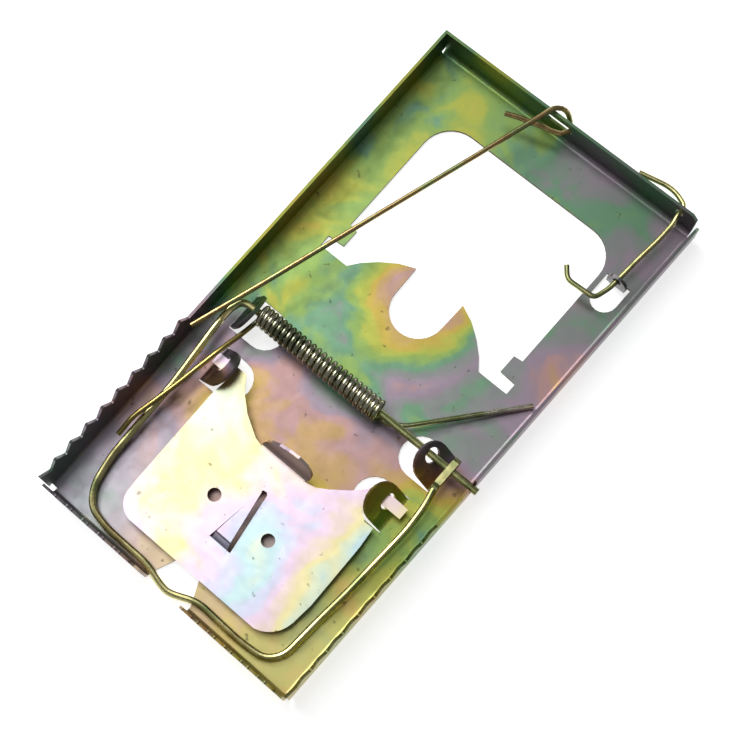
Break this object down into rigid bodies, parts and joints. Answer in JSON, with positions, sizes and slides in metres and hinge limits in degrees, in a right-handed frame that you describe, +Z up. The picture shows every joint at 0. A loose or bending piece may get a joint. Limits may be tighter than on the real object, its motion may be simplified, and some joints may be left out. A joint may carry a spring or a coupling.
{
  "type": "snap mouse trap",
  "caption": "Folded steel tray with toothed rims, a spring-loaded wire jaw, a locking bar, a small hook wire and a tilting bait pedal.",
  "frame": {"origin": "middle of the tray's flat underside, on the plane it rests on", "axes": "+X across the tray towards the side with the wall notch, +Y along the tray from the toothed near wall to the far wall, +Z up"},
  "size_m": [0.0535, 0.1024, 0.0082],
  "materials": {
    "zinc_plate": "yellow iridescent zinc passivate",
    "pale_zinc_plate": "pale iridescent zinc passivate",
    "zinc_wire": "olive gold zinc passivate",
    "zinc_bar_wire": "olive gold zinc passivate",
    "zinc_hook_wire": "olive gold zinc passivate",
    "spring_steel": "dark zinc-plated spring wire"
  },
  "bodies": {
    "base": {"base_tray": "zinc_plate", "torsion_spring": "spring_steel"},
    "jaw": {"jaw_bar": "zinc_wire"},
    "bar": {"locking_bar": "zinc_bar_wire"},
    "hook": {"hook_wire": "zinc_hook_wire"},
    "treadle": {"pedal": "pale_zinc_plate"}
  },
  "joints": [
    {"name": "jaw_hinge", "type": "hinge", "parent": "base", "child": "jaw", "pos_m": [0, -0.0058, 0.0041], "axis": [-1, 0, 0], "range_deg": [0, 180], "stiffness_Nm_per_rad": 0.02, "springref_deg": -57.3, "deforming": ["torsion_spring"]},
    {"name": "bar_hinge", "type": "hinge", "parent": "base", "child": "bar", "pos_m": [0, 0.04975, 0.00536], "axis": [-1, 0, 0], "range_deg": [0, 180]},
    {"name": "hook_hinge", "type": "hinge", "parent": "base", "child": "hook", "pos_m": [0.0221, 0.04975, 0.004], "axis": [0.0207, 0.9994, 0.0277], "range_deg": [0, 45]},
    {"name": "pedal_hinge", "type": "hinge", "parent": "base", "child": "treadle", "pos_m": [0, -0.0156, 0.00225], "axis": [-1, 0, 0], "range_deg": [0, 7]}
  ],
  "couplings": [
    {"joint": "bar_hinge", "follows": "jaw_hinge", "ratio": 1}
  ]
}
